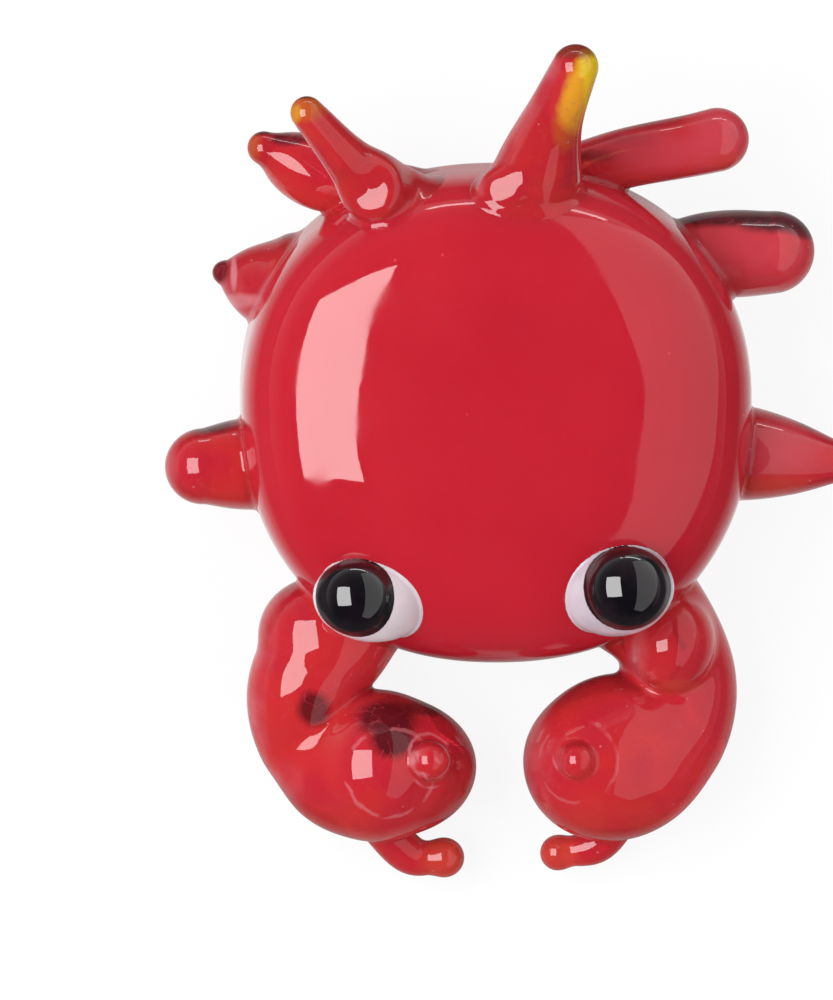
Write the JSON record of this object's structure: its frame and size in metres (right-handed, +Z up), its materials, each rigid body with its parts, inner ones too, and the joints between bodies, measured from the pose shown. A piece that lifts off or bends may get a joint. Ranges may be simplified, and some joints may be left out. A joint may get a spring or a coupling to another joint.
{
  "type": "crab figurine",
  "caption": "Small flame-worked glass crab: cushion-shaped red body on a flat belly, drawn rod legs, curled claws with fat palms, white eye stubs with black dots.",
  "frame": {"origin": "centre of the flat belly that the crab stands on", "axes": "+Z up off the belly, -Y the way that the claws and eyes face, +X to the right of a viewer who looks at its face from above"},
  "size_m": [0.0417, 0.0495, 0.0211],
  "materials": {
    "red_glass_body": "fire-polished, deep red and nearly opaque through its thickness",
    "red_glass_limbs": "fire-polished clear red, amber where it was struck less and dark maroon where more",
    "white_glass": "fire-polished opaque white",
    "black_glass": "fire-polished opaque black"
  },
  "bodies": {
    "root": {"body": "red_glass_body", "leg_left_front": "red_glass_limbs", "leg_left_middle": "red_glass_limbs", "leg_left_rear": "red_glass_limbs", "leg_left_hind": "red_glass_limbs", "leg_right_front": "red_glass_limbs", "leg_right_middle": "red_glass_limbs", "leg_right_rear": "red_glass_limbs", "leg_right_hind": "red_glass_limbs", "claw_left_shoulder": "red_glass_limbs", "claw_left_arm": "red_glass_limbs", "claw_left_palm": "red_glass_limbs", "claw_left_finger": "red_glass_limbs", "claw_left_thumb": "red_glass_limbs", "claw_left_thumb_bead": "red_glass_limbs", "claw_right_shoulder": "red_glass_limbs", "claw_right_arm": "red_glass_limbs", "claw_right_palm": "red_glass_limbs", "claw_right_finger": "red_glass_limbs", "claw_right_thumb": "red_glass_limbs", "claw_right_thumb_bead": "red_glass_limbs", "eye_left_white": "white_glass", "eye_left_pupil": "black_glass", "eye_right_white": "white_glass", "eye_right_pupil": "black_glass"}
  },
  "joints": []
}
